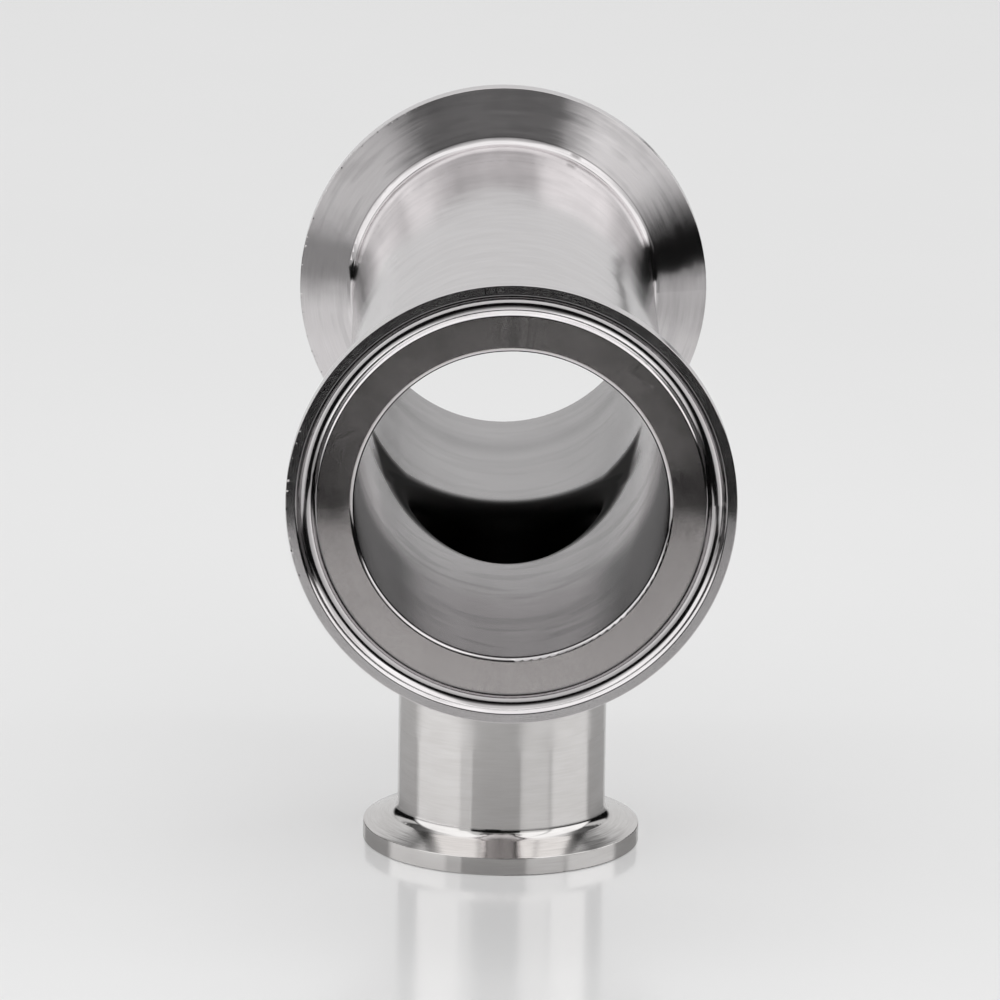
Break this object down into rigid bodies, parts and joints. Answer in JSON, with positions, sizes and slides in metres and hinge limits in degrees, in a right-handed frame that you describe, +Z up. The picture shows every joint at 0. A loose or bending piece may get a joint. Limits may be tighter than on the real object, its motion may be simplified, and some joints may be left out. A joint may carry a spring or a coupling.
{
  "type": "sanitary clamp tee",
  "caption": "Stainless sanitary tee: a straight run and a smaller branch, each ending in a turned clamp ferrule with a gasket groove.",
  "frame": {"origin": "centre of the branch ferrule's gasket face, on which the tee stands", "axes": "+Y along the run, +Z up from the branch face to the run, +X across"},
  "size_m": [0.0775, 0.172, 0.1232],
  "materials": {
    "polished_tube": "stainless steel, fine polish with soft clouding",
    "turned_ferrule": "stainless steel, turned and polished, fine rings round the axis"
  },
  "bodies": {
    "root": {"tee_body": "polished_tube", "run_ferrule_front": "turned_ferrule", "run_ferrule_rear": "turned_ferrule", "branch_ferrule": "turned_ferrule"}
  },
  "joints": []
}
